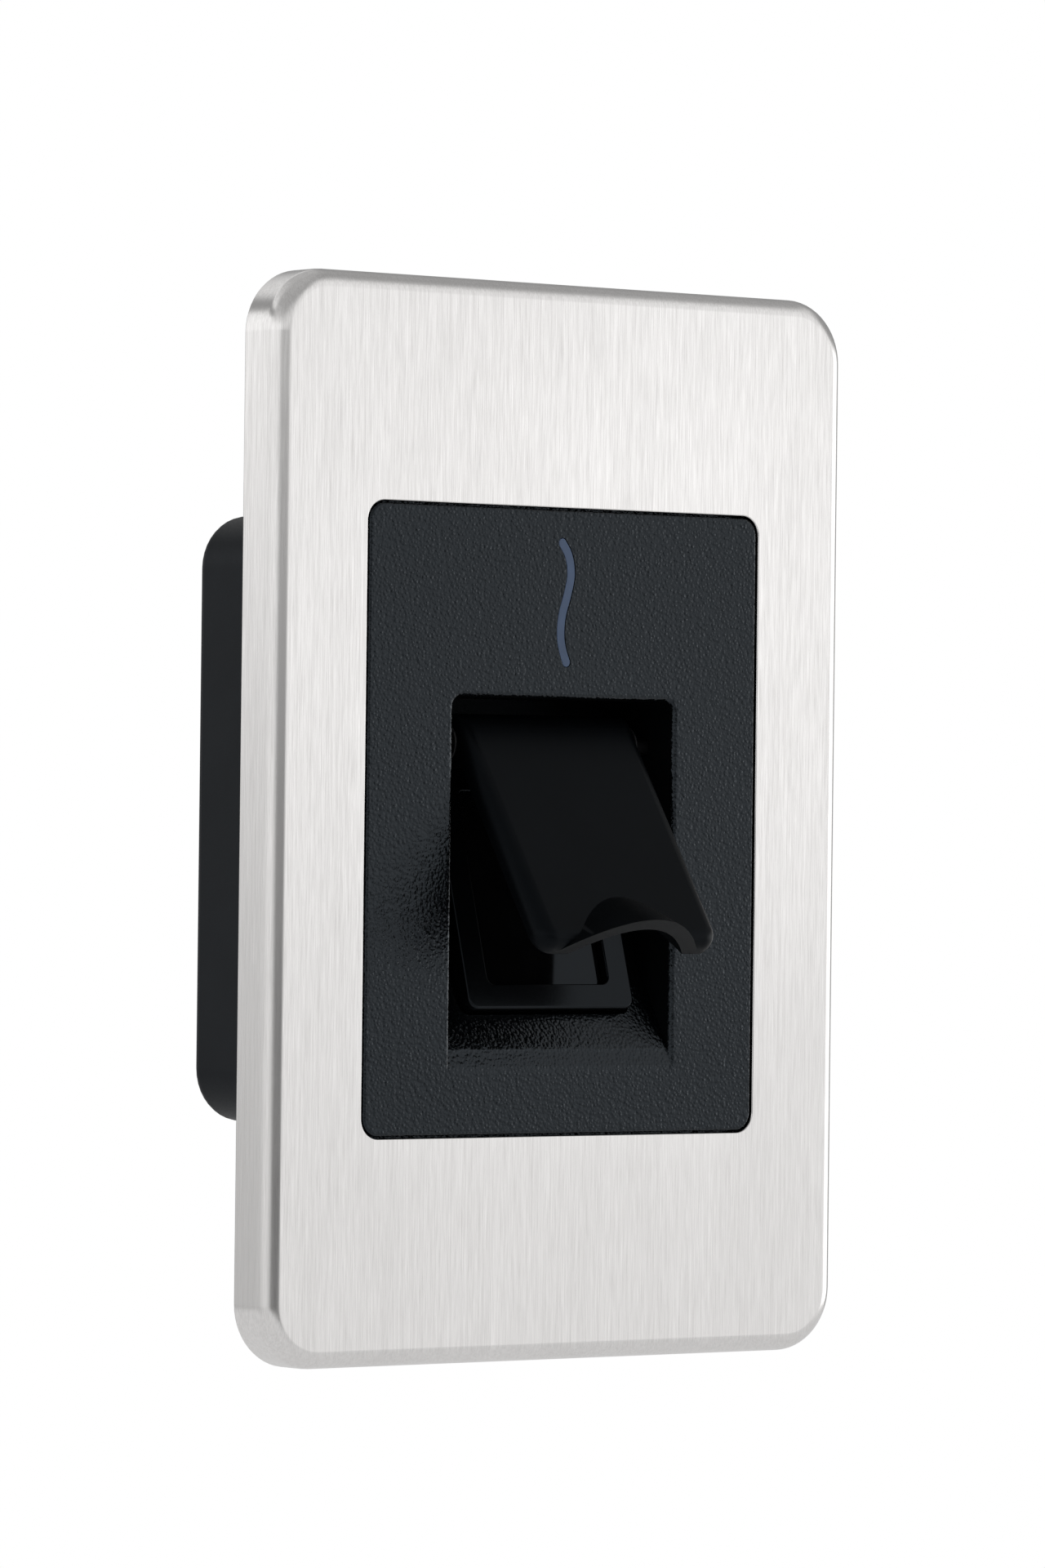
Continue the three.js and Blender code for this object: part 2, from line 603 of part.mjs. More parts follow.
// A header open to the rear, its contact pins standing on the floor of the cavity.
function header(w, h, ways, pitch) {
  const pins = Array.from({ length: ways }, (_, k) => {
    const x = (k - (ways - 1) / 2) * pitch;
    return block(0.9, 0.9, -4.0, -0.7, x, 0);
  });
  return union(cut(block(w, h, -8.3, 0), block(w - 1.8, h - 1.8, -9, -1.0)), pins);
}
const rearOfBoard = -BOARD_FACE + BOARD_T + 0.3;
piece("bus_socket", header(15.6, 8.6, 4, 3.5), GREEN_PLUG, [BUS_AT[0], rearOfBoard, BUS_AT[1]]);
piece("power_socket", header(8.2, 8.6, 2, 3.5), WHITE_PLUG, [POWER_AT[0], rearOfBoard, POWER_AT[1]]);

const ways = [-1.5, -0.5, 0.5, 1.5].map((k) => k * DIP_PITCH);
piece("dip_switch_body", cut(
  block(11.4, 7.4, -5.6, 0),
  ways.map((x) => block(1.6, 4.3, -6, -3.2, x, 0)),
), DIP_RED, [DIP_AT[0], rearOfBoard, DIP_AT[1]]);
ways.forEach((x, i) => {
  piece(`dip_slider_${i + 1}`, block(1.0, 2.2, -3.6, 0), WHITE_PLUG,
    [DIP_AT[0] + x, rearOfBoard + 3.5, DIP_AT[1] - DIP_TRAVEL / 2]);
});

// ---------------------------------------------------------------- flex ribbons
// A thin strip of constant thickness following points in (y into the wall, z up).
function ribbon(points, width, thickness = 0.25) {
  const curve = new THREE.SplineCurve(points.map(([y, z]) => new THREE.Vector2(y, z)));
  const near = [];
  const far = [];
  const steps = 16;
  for (let k = 0; k <= steps; k += 1) {
    const p = curve.getPoint(k / steps);
    const t = curve.getTangent(k / steps);
    near.push([p.y + t.x * thickness / 2, -(p.x - t.y * thickness / 2)]);
    far.push([p.y - t.x * thickness / 2, -(p.x + t.y * thickness / 2)]);
  }
  return sweepX([...near, ...far.reverse()], -width / 2, width / 2);
}
piece("sensor_ribbon", ribbon([
  [13.25, -20.3], [12.45, -23.1], [13.6, -26.2], [16.9, -27.6], [20.3, -26.6], [21.9, -23.6], [22.05, -20.4],
], 10), FILM);
piece("indicator_ribbon", ribbon([
  [2.75, 23.5], [2.75, 28.5], [4.6, 31.4], [9, 32.2], [15, 32.2], [20, 31.2], [21.9, 28.4], [22.05, 25.4],
], 5), FILM);

// ---------------------------------------------------------------- mounting bracket and locking screw
const hooks = [-20, 20].map((x) => union(
  block(5, 1.1, 1.2, 4.7, x, 48.75),
  block(5, 3.3, 4.2, 4.7, x, 49.85),
));
piece("mounting_bracket", cut(
  union(
    slab(roundRect(76, 114, 5), 0, 1.5),
    block(12, 4, 0, 1.5, 0, -58.1),
    block(12, 1.3, 1, 4.2, 0, -59.45),
    hooks,
  ),
  slab(roundRect(50.4, 72.8, 7), -1, 3),
  [-41.65, 41.65].map((y) => slab(roundRect(10, 4.4, 2.15, 0, y), -1, 3, 5)),
  [[-32, 50], [32, 50], [-32, -50], [32, -50]].map(([x, y]) => rod(2.1, -1, 3, x, y, 20)),
  upright(1.55, -62, -57, SECURITY_Z, 20),
), ZINC);
piece("security_screw", cut(
  upright(1.4, -61.7, -58, 0, 20),
  upright(0.75, -63, -60.2, 0, 6),
), ZINC, [0, -SECURITY_Z, 0]);

export default terminal;
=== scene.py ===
"""Looks of the flush-mounted fingerprint scanner terminal.

Row frame in metres: X to the right, Y into the wall, Z up. Shapes are drawn in millimetres as seen
from the front (x right, y up, z toward the viewer) and stood up when their meshes are made.
"""

import math

import bmesh
import bpy
from mathutils import Matrix, Vector


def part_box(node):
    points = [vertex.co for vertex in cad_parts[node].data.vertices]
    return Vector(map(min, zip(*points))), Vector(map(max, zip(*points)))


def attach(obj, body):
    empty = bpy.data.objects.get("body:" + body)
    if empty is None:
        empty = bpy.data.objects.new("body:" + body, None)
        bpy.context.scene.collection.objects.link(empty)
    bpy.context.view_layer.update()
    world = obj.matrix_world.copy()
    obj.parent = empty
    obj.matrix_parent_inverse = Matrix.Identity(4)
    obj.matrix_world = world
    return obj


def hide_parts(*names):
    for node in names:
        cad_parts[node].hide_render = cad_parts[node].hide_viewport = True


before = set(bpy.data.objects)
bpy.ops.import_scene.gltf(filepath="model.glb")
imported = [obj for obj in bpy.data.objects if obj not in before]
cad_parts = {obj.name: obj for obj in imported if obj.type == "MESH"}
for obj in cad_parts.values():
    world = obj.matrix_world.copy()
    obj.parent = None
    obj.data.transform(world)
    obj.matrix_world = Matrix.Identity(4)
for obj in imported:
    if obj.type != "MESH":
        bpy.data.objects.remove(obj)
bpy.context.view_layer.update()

MM = 0.001


def box_mm(node):
    """Lowest and highest corner of a CAD node, in front-view millimetres."""
    low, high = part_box(node)
    return (
        Vector((low.x, low.z, -high.y)) / MM,
        Vector((high.x, high.z, -low.y)) / MM,
    )


def centre_mm(node):
    """Middle of a CAD node seen from the front, in millimetres."""
    low, high = box_mm(node)
    return (low.x + high.x) / 2, (low.y + high.y) / 2


# ------------------------------------------------------------------ camera
CAMERA_YAW = 38.06
CAMERA_PITCH = 0.41
CAMERA_ROLL = -0.66
CAMERA_PLACE = (-0.55397, -0.70601, -0.00208)
FOCAL_LENGTH = 177.9
SENSOR_WIDTH = 36
camera_data = bpy.data.cameras.new("camera")
camera_data.sensor_width = SENSOR_WIDTH
camera_data.lens = FOCAL_LENGTH
camera_data.clip_end = 50
camera = bpy.data.objects.new("camera", camera_data)
camera.location = CAMERA_PLACE
camera.rotation_euler = (
    math.radians(90 + CAMERA_PITCH),
    math.radians(CAMERA_ROLL),
    math.radians(-CAMERA_YAW),
)
bpy.context.collection.objects.link(camera)
bpy.context.scene.camera = camera


# ------------------------------------------------------------------ mesh tools
def upright(x, y, z):
    """Stands a point of the front view up in the row frame."""
    return Vector((x * MM, -z * MM, y * MM))


def tilted(origin, degrees):
    """Places a front view that leans back about a point given as x, y into the wall and z up."""
    a = math.radians(degrees)
    ox, oy, oz = origin

    def place(x, y, z):
        return Vector((
            (ox + x) * MM,
            (oy + y * math.sin(a) - z * math.cos(a)) * MM,
            (oz + y * math.cos(a) + z * math.sin(a)) * MM,
        ))

    return place


def new_object(name, bm):
    """Makes an object of a bmesh, which is used up."""
    bmesh.ops.recalc_face_normals(bm, faces=bm.faces)
    mesh = bpy.data.meshes.new(name)
    bm.to_mesh(mesh)
    bm.free()
    obj = bpy.data.objects.new(name, mesh)
    bpy.context.collection.objects.link(obj)
    return obj


def round_rect(w, h, r, cx=0.0, cy=0.0, steps=8, radii=None):
    """Points of a rounded rectangle, counter-clockwise from the right end of the top right corner."""
    radii = radii or (r, r, r, r)
    points = []
    for c, (sx, sy) in enumerate(((1, 1), (-1, 1), (-1, -1), (1, -1))):
        q = max(radii[c], 1e-4)
        for k in range(steps + 1):
            a = math.radians(90 * (c + k / steps))
            points.append((
                cx + sx * (w / 2 - q) + q * math.cos(a),
                cy + sy * (h / 2 - q) + q * math.sin(a),
            ))
    return points


def ring_of(r, z, cx=0.0, cy=0.0, sides=32):
    """Points of a circle at height z, counter-clockwise from the right."""
    return [
        (cx + r * math.cos(2 * math.pi * k / sides), cy + r * math.sin(2 * math.pi * k / sides), z)
        for k in range(sides)
    ]


def loft(name, rings, place=upright, closed=False, capped=True):
    """Skins rings of equally many (x, y, z) points. A closed loft joins the last ring to the first."""
    bm = bmesh.new()
    rows = [[bm.verts.new(place(*p)) for p in ring] for ring in rings]
    pairs = list(zip(rows, rows[1:]))
    if closed:
        pairs.append((rows[-1], rows[0]))
    for a, b in pairs:
        n = len(a)
        for k in range(n):
            bm.faces.new((a[k], a[(k + 1) % n], b[(k + 1) % n], b[k]))
    if capped and not closed:
        bm.faces.new(rows[0][::-1])
        bm.faces.new(rows[-1])
    return new_object(name, bm)


def extruded(name, outline, z0, z1, place=upright):
    """An outline in (x, y) raised from z0 to z1."""
    return loft(name, [[(x, y, z0) for x, y in outline], [(x, y, z1) for x, y in outline]], place)


def swept(name, profile, x0, x1, place=upright):
    """A side profile in (y, z) swept along x."""
    return loft(name, [[(x0, y, z) for y, z in profile], [(x1, y, z) for y, z in profile]], place)


def bake(obj):
    """Makes an object's modifiers part of its mesh."""
    depsgraph = bpy.context.evaluated_depsgraph_get()
    mesh = bpy.data.meshes.new_from_object(obj.evaluated_get(depsgraph))
    old = obj.data
    obj.modifiers.clear()
    obj.data = mesh
    bpy.data.meshes.remove(old)
    return obj


def combine(obj, tool, how="DIFFERENCE"):
    """Cuts, joins or intersects with a tool, which is used up."""
    step = obj.modifiers.new("combine", "BOOLEAN")
    step.operation = how
    step.solver = "EXACT"
    step.object = tool
    bake(obj)
    bpy.data.objects.remove(tool)
    return obj


def soften(obj, width, segments=3, angle=32):
    """Rounds the edges sharper than an angle."""
    step = obj.modifiers.new("soft edges", "BEVEL")
    step.width = width * MM
    step.segments = segments
    step.limit_method = "ANGLE"
    step.angle_limit = math.radians(angle)
    step.harden_normals = False
    return obj


def shade(obj, angle=40):
    """Smooth shading, with creases kept where faces meet more sharply than an angle."""
    bpy.context.view_layer.update()
    bm = bmesh.new()
    bm.from_mesh(obj.data)
    for face in bm.faces:
        face.smooth = True
    for edge in bm.edges:
        if len(edge.link_faces) == 2:
            edge.smooth = edge.calc_face_angle(0) < math.radians(angle)
    bm.to_mesh(obj.data)
    bm.free()
    flat = obj.modifiers.new("flat faces stay flat", "WEIGHTED_NORMAL")
    flat.keep_sharp = True
    flat.weight = 50
    return obj


def rounded_levels(w, h, r, z0, z1, fillet, steps=8, cx=0.0, cy=0.0, corner_steps=10):
    """Rings of a plate whose front edge is rounded by a quarter circle."""
    rings = [[(x, y, z0) for x, y in round_rect(w, h, r, cx, cy, corner_steps)]]
    for k in range(steps + 1):
        a = math.radians(90 * k / steps)
        inset = fillet * (1 - math.cos(a))
        z = z1 - fillet + fillet * math.sin(a)
        outline = round_rect(w - 2 * inset, h - 2 * inset, max(r - inset, 0.05), cx, cy, corner_steps)
        rings.append([(x, y, z) for x, y in outline])
    return rings


# ------------------------------------------------------------------ material tools
class Look:
    """A procedural material: a Principled shader and the nodes that feed it."""

    def __init__(self, name, roughness=0.5, metallic=0.0):
        self.material = bpy.data.materials.new(name)
        self.material.use_nodes = True
        self.nodes = self.material.node_tree.nodes
        self.links = self.material.node_tree.links
        self.shader = self.nodes["Principled BSDF"]
        self.shader.inputs["Roughness"].default_value = roughness
        self.shader.inputs["Metallic"].default_value = metallic
        self.coords = self.nodes.new("ShaderNodeTexCoord").outputs["Object"]

    def level(self, gloss, tint):
        """Strength and tint of the reflection straight on."""
        self.shader.inputs["Specular IOR Level"].default_value = gloss
        self.shader.inputs["Specular Tint"].default_value = (*tint, 1)

    def stretch(self, x, y, z):
        node = self.nodes.new("ShaderNodeMapping")
        node.inputs["Scale"].default_value = (x, y, z)
        self.links.new(self.coords, node.inputs["Vector"])
        return node.outputs["Vector"]

    def noise(self, x, y, z, detail=3.0, rough=0.55, distortion=0.0):
        node = self.nodes.new("ShaderNodeTexNoise")
        node.inputs["Scale"].default_value = 1.0
        node.inputs["Detail"].default_value = detail
        node.inputs["Roughness"].default_value = rough
        node.inputs["Distortion"].default_value = distortion
        self.links.new(self.stretch(x, y, z), node.inputs["Vector"])
        return node.outputs["Fac"]

    def cells(self, scale, smooth=0.6, randomness=1.0):
        node = self.nodes.new("ShaderNodeTexVoronoi")
        node.feature = "SMOOTH_F1"
        node.inputs["Scale"].default_value = 1.0
        node.inputs["Smoothness"].default_value = smooth
        node.inputs["Randomness"].default_value = randomness
        self.links.new(self.stretch(scale, scale, scale), node.inputs["Vector"])
        return node.outputs["Distance"]

    def math(self, how, a, b):
        node = self.nodes.new("ShaderNodeMath")
        node.operation = how
        for socket, value in zip(node.inputs, (a, b)):
            if isinstance(value, (int, float)):
                socket.default_value = value
            else:
                self.links.new(value, socket)
        return node.outputs["Value"]

    def remap(self, value, a, b, low, high):
        node = self.nodes.new("ShaderNodeMapRange")
        node.inputs["From Min"].default_value = a
        node.inputs["From Max"].default_value = b
        node.inputs["To Min"].default_value = low
        node.inputs["To Max"].default_value = high
        self.links.new(value, node.inputs["Value"])
        return node.outputs["Result"]

    def ramp(self, value, *stops):
        node = self.nodes.new("ShaderNodeValToRGB")
        ramp = node.color_ramp
        for k, (at, colour) in enumerate(stops):
            stop = ramp.elements[k] if k < 2 else ramp.elements.new(at)
            stop.position = at
            stop.color = (*colour, 1)
        self.links.new(value, node.inputs["Fac"])
        return node.outputs["Color"]

    def colour(self, output):
        self.links.new(output, self.shader.inputs["Base Color"])
        return self

    def roughness(self, output):
        self.links.new(output, self.shader.inputs["Roughness"])
        return self

    def bump(self, height, strength, distance):
        node = self.nodes.new("ShaderNodeBump")
        node.inputs["Strength"].default_value = strength
        node.inputs["Distance"].default_value = distance
        self.links.new(height, node.inputs["Height"])
        previous = self.shader.inputs["Normal"].links
        if previous:
            self.links.new(previous[0].from_socket, node.inputs["Normal"])
        self.links.new(node.outputs["Normal"], self.shader.inputs["Normal"])
        return self


def set_look(obj, look):
    obj.data.materials.clear()
    obj.data.materials.append(look.material)
    return obj


# ------------------------------------------------------------------ materials
# The tint of the reflections on the black plastics and the glass.
COOL = (0.76, 0.88, 1.0)


def brushed_steel():
    """Stainless steel brushed up and down: long fine streaks that scatter light sideways."""
    look = Look("brushed_stainless", 0.26, 1.0)
    fine = look.noise(9000, 9000, 230, 3, 0.6)
    broad = look.noise(3200, 3200, 60, 3, 0.6)
    cloud = look.noise(60, 60, 9, 2, 0.5)
    mixed = look.math("ADD", look.math("MULTIPLY", fine, 0.62), look.math("MULTIPLY", broad, 0.38))
    tone = look.math("ADD", look.math("MULTIPLY", mixed, 0.85), look.math("MULTIPLY", cloud, 0.15))
    look.colour(look.ramp(tone, (0.30, (0.70, 0.685, 0.675)), (0.68, (0.96, 0.945, 0.935))))
    look.roughness(look.remap(mixed, 0.3, 0.7, 0.25, 0.15))
    look.bump(fine, 0.35, 0.000008)
    look.bump(broad, 0.12, 0.000015)
    return look


def moulded(name, dark, light, roughness, grain, depth, spread=0.08, gloss=0.5, tint=(1.0, 1.0, 1.0)):
    """Plain moulded plastic with a fine spark-eroded texture."""
    look = Look(name, roughness)
    look.level(gloss, tint)
    fine = look.noise(grain, grain, grain, 3, 0.6)
    cloud = look.noise(90, 90, 90, 3, 0.6)
    look.colour(look.ramp(cloud, (0.35, dark), (0.65, light)))
    look.roughness(look.remap(fine, 0.3, 0.7, roughness + spread, roughness - spread))
    look.bump(fine, 0.5, depth)
    return look


def leather_grain():
    """Moulded leather grain: small pebbles on a gentle swell, with finer pits on top."""
    look = Look("grained_black_abs", 0.24)
    pebbles = look.cells(2400, 0.45)
    swell = look.noise(3400, 3400, 3400, 2, 0.5)
    fine = look.noise(8000, 8000, 8000, 2, 0.5)
    height = look.math("SUBTRACT", look.math("MULTIPLY", swell, 0.6), look.math("MULTIPLY", pebbles, 0.9))
    # Pebble tops are painted a little lighter and the valleys between them darker: painted shade in the
    # grain.
    look.colour(look.ramp(height, (0.0, (0.0008, 0.0010, 0.0013)), (0.3, (0.0020, 0.0025, 0.0032))))
    look.roughness(look.remap(swell, 0.3, 0.7, 0.21, 0.14))
    look.bump(height, 1.0, 0.000075)
    look.bump(fine, 0.15, 0.000008)
    look.level(0.42, COOL)
    return look


def diffuser():
    """Blue-grey light guide with a little light under its surface."""
    look = Look("blue_grey_diffuser", 0.3)
    cloud = look.noise(420, 420, 260, 2, 0.5)
    look.colour(look.ramp(cloud, (0.35, (0.040, 0.075, 0.150)), (0.65, (0.058, 0.102, 0.195))))
    look.bump(look.noise(3000, 3000, 3000), 0.2, 0.00001)
    look.shader.inputs["Subsurface Weight"].default_value = 0.15
    look.shader.inputs["Subsurface Radius"].default_value = (0.001, 0.001, 0.0015)
    look.shader.inputs["Subsurface Scale"].default_value = 0.5
    return look


def dark_glass():
    """Black optical glass with faint smears."""
    look = Look("dark_optical_glass", 0.04)
    smear = look.noise(160, 160, 90, 4, 0.6, 0.8)
    look.colour(look.ramp(smear, (0.3, (0.0015, 0.0015, 0.0018)), (0.7, (0.003, 0.003, 0.0035))))
    look.roughness(look.remap(smear, 0.35, 0.75, 0.03, 0.10))
    look.level(0.24, COOL)
    return look


def plated(name, tint, roughness):
    """Plated metal with a cloudy stain."""
    look = Look(name, roughness, 1.0)
    stain = look.noise(260, 260, 260, 4, 0.6)
    fine = look.noise(4200, 4200, 4200, 2, 0.5)
    dark = tuple(0.78 * c for c in tint)
    look.colour(look.ramp(stain, (0.3, dark), (0.65, tint)))
    look.roughness(look.remap(stain, 0.3, 0.7, roughness + 0.12, roughness - 0.06))
    look.bump(fine, 0.3, 0.00002)
    return look


def circuit_laminate():
    """Solder mask over fine weave, with lighter traces showing through."""
    look = Look("circuit_laminate", 0.4)
    weave = look.noise(2400, 2400, 2400, 2, 0.5)
    traces = look.cells(520, 0.0, 0.35)
    tone = look.math("ADD", look.math("MULTIPLY", weave, 0.3), look.math("MULTIPLY", traces, 0.7))
    look.colour(look.ramp(tone, (0.25, (0.030, 0.150, 0.060)), (0.40, (0.012, 0.075, 0.032))))
    look.bump(tone, 0.4, 0.00003)
    return look


STEEL = brushed_steel()
GRAINED = leather_grain()
SATIN = moulded(
    "satin_black_abs", (0.0012, 0.0015, 0.0020), (0.0018, 0.0023, 0.0030),
    0.36, 9000, 0.00001, 0.06, 0.10, COOL,
)
FRAME_BLACK = moulded(
    "smooth_black_frame", (0.0010, 0.0012, 0.0015), (0.0016, 0.0019, 0.0024),
    0.22, 7000, 0.000006, 0.05, 0.22, COOL,
)
HOUSING = moulded(
    "matt_black_housing", (0.0040, 0.0046, 0.0060), (0.0060, 0.0070, 0.0088),
    0.42, 6000, 0.000012, 0.08, 0.13, COOL,
)
INNER = moulded("inner_black_plastic", (0.010, 0.011, 0.012), (0.016, 0.017, 0.018), 0.5, 5000, 0.00001)
RUBBER = moulded("black_rubber", (0.012, 0.012, 0.012), (0.022, 0.022, 0.022), 0.8, 3000, 0.00002)
ACETAL = moulded(
    "black_acetal", (0.006, 0.006, 0.0065), (0.010, 0.010, 0.011), 0.45, 4000, 0.00001, 0.08, 0.2,
)
EPOXY = moulded("black_epoxy", (0.014, 0.015, 0.016), (0.026, 0.027, 0.028), 0.55, 8000, 0.00001)
LED_BODY = moulded("led_package", (0.72, 0.69, 0.52), (0.86, 0.83, 0.66), 0.3, 4000, 0.00001)
GREEN_PLUG = moulded("green_polyamide", (0.020, 0.16, 0.055), (0.035, 0.22, 0.08), 0.45, 3500, 0.00002)
WHITE_PLUG = moulded("white_polyamide", (0.70, 0.69, 0.63), (0.82, 0.81, 0.76), 0.45, 3500, 0.00002)
DIP_RED = moulded("red_polybutylene", (0.28, 0.020, 0.022), (0.38, 0.030, 0.032), 0.4, 3500, 0.00002)
FERRITE = moulded("ferrite", (0.030, 0.030, 0.032), (0.055, 0.055, 0.058), 0.65, 2600, 0.00004)
FILM = moulded("polyimide_flex", (0.36, 0.13, 0.025), (0.48, 0.19, 0.04), 0.3, 1500, 0.00001)
LENS = moulded("coated_lens", (0.16, 0.18, 0.26), (0.20, 0.22, 0.30), 0.05, 900, 0.000002, 0.02)
ZINC = plated("zinc_plated_steel", (0.62, 0.63, 0.66), 0.36)
BLACK_OXIDE = plated("black_oxide_steel", (0.030, 0.030, 0.032), 0.42)
# A smoother, less reflective copy of the black plastic for the recess: its smoothness is real, its darkness
# is painted shade.
RECESS_SMOOTH_SHADED = moulded(
    "recess_smooth_painted_shade", (0.0012, 0.0013, 0.0015), (0.0020, 0.0022, 0.0026),
    0.5, 7000, 0.00001, 0.05, 0.12, COOL,
)
CAN = plated("aluminium_can", (0.80, 0.81, 0.83), 0.28)
DIFFUSER = diffuser()
GLASS = dark_glass()
LAMINATE = circuit_laminate()


# ------------------------------------------------------------------ face plate
low, high = box_mm("face_plate")
plate_w = high.x - low.x
plate_h = high.y - low.y
plate_front = high.z
PLATE_R = 7.4
FILLET = 2.1
STEEL_T = 1.2
WINDOW_W = 57.3
WINDOW_H = 72.3
WINDOW_R = 2.35
SET_SCREW_BORE_R = 1.75
STUD_R = 1.25
STUD_ROOT_R = 1.08
STUD_PITCH = 0.42


def plate_ring(w, h, r, z):
    """A rounded rectangle round the middle of the plate."""
    return [(x, y, z) for x, y in round_rect(w, h, r, 0, 0, 14)]


def quarter(w, h, r, front, fillet, steps=12):
    """Rings round a fillet, from the skirt to the face."""
    rings = []
    for k in range(steps + 1):
        a = math.radians(90 * k / steps)
        inset = fillet * (1 - math.cos(a))
        z = front - fillet + fillet * math.sin(a)
        rings.append(plate_ring(w - 2 * inset, h - 2 * inset, r - inset, z))
    return rings


outer_rings = quarter(plate_w, plate_h, PLATE_R, plate_front, FILLET)
inner_rings = quarter(plate_w - 2 * STEEL_T, plate_h - 2 * STEEL_T, PLATE_R - STEEL_T,
                      plate_front - STEEL_T, FILLET - STEEL_T, 6)
rings = [
    plate_ring(plate_w - 2 * inset, plate_h - 2 * inset, PLATE_R - inset, z)
    for inset, z in ((0.25, 0), (0.07, 0.07), (0, 0.25))
]
rings += outer_rings
rings += [
    plate_ring(WINDOW_W + wider, WINDOW_H + wider, WINDOW_R + rounder, plate_front - depth)
    for wider, rounder, depth in (
        (8, 2, 0), (0.30, 0.15, 0), (0.09, 0.045, 0.045), (0, 0, 0.15), (0, 0, STEEL_T),
    )
]
rings += inner_rings[::-1]
rings.append(plate_ring(plate_w - 2 * STEEL_T, plate_h - 2 * STEEL_T, PLATE_R - STEEL_T, 0))
face_plate = loft("plate_shell", rings, closed=True)
shade(face_plate, 50)
set_look(face_plate, STEEL)

# The set screw's hole through the lower skirt, and the weld studs on the back.
screw_low, screw_high = box_mm("security_screw")
screw_z = (screw_low.z + screw_high.z) / 2
hole_outline = ring_of(SET_SCREW_BORE_R, 0, 0.0, screw_z)
hole_ends = (-plate_h / 2 - 2, -plate_h / 2 + 3)
hole = loft("hole_tool", [[(x, y, z) for x, z, _ in hole_outline] for y in hole_ends])
combine(face_plate, hole)
shade(face_plate, 50)
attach(face_plate, "terminal")
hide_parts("face_plate")


for number in range(1, 5):
    cx, cy = centre_mm(f"stud_nut_{number}")
    levels = [(1.1, 1.75), (STUD_R, 1.9)]
    z = 2.0
    while z < plate_front - STEEL_T - 0.3:
        levels += [(STUD_R, z), (STUD_ROOT_R, z + 0.1), (STUD_R, z + 0.2)]
        z += STUD_PITCH
    levels += [(STUD_R, plate_front - STEEL_T - 0.2), (1.7, plate_front - STEEL_T)]
    stud = loft(f"weld_stud_{number}", [ring_of(r, z, cx, cy, 20) for r, z in levels])
    shade(stud, 30)
    set_look(stud, ZINC)
    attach(stud, "terminal")


# ------------------------------------------------------------------ front bezel
FACE = box_mm("front_bezel")[1].z
PANEL_W = 56.8
PANEL_H = 71.8
PANEL_R = 2.1
RECESS_W = 32.3
RECESS_TOP = 14.2
RECESS_BOTTOM = -27.3
RECESS_EDGE = 0.6
RECESS_R = 1.3
RECESS_DEPTH = 13.4
RECESS_WALL = 1.6
FOLD_END = -29.4
FLARE_END = -28.4
FLARE_SLOPE = 3.4
FLANGE = (68, 104, 6)
SLOT_WIDTH = 1.24
STRIP_WIDTH = 1.16
STRIP_TOP_WIDTH = 1.02
STRIP_EDGE = 0.08
SQUARE = 0.02
MODULE = (0.0, -4.6, -21.5)
MODULE_TILT = 16
FRAME_W = 24.2
FRAME_H = 29.0
module_place = tilted(MODULE, MODULE_TILT)


def smooth_chain(points, steps=8):
    """A Catmull-Rom chain through points."""
    out = []
    for k in range(len(points) - 1):
        p0 = Vector(points[max(k - 1, 0)])
        p1 = Vector(points[k])
        p2 = Vector(points[k + 1])
        p3 = Vector(points[min(k + 2, len(points) - 1)])
        for s in range(steps):
            t = s / steps
            out.append(tuple(0.5 * (
                2 * p1 + (p2 - p0) * t + (2 * p0 - 5 * p1 + 4 * p2 - p3) * t * t
                + (3 * p1 - p0 - 3 * p2 + p3) * t ** 3
            )))
    out.append(tuple(points[-1]))
    return out


bezel = loft("bezel_moulding", rounded_levels(PANEL_W, PANEL_H, PANEL_R, 3.6, FACE, 0.35, 5))
flange = extruded("flange_tool", round_rect(*FLANGE), 2.9, 4.0)
combine(bezel, flange, "UNION")
tub_back = FACE - RECESS_DEPTH - RECESS_WALL
tub_half = RECESS_W / 2 + RECESS_WALL
tub_profile = [
    (RECESS_TOP + RECESS_WALL, FACE - 2), (RECESS_TOP + RECESS_WALL, tub_back), (1.1, tub_back),
    (-13.7, FACE - 8.9), (-19.2, FACE - 6.5), (-26.6, FACE - 2.9), (FOLD_END, FACE - 2),
]
combine(bezel, swept("tub_tool", tub_profile, -tub_half, tub_half), "UNION")
# The recess floor, which runs out into the face in one curve.
fold = smooth_chain([
    (1.5, FACE - RECESS_DEPTH), (-12.9, FACE - 7.4), (-18.3, FACE - 5.0), (-22.0, FACE - 2.95),
    (-24.6, FACE - 1.45), (-26.1, FACE - 0.66), (-27.3, FACE - 0.22), (-28.6, FACE - 0.03),
    (FOLD_END, FACE + 0.02),
])
recess_profile = [(RECESS_TOP, FACE + 4), (RECESS_TOP, FACE - RECESS_DEPTH)]
recess_profile += fold + [(FOLD_END, FACE + 4)]
recess = swept("recess_tool", recess_profile, -30, 30)
side_view = round_rect(
    RECESS_W, RECESS_TOP - FOLD_END, 0, 0, (RECESS_TOP + FOLD_END) / 2, 6,
    (RECESS_R, RECESS_R, SQUARE, SQUARE),
)
combine(recess, extruded("recess_sides_tool", side_view, FACE - 20, FACE + 8), "INTERSECT")
combine(bezel, recess)
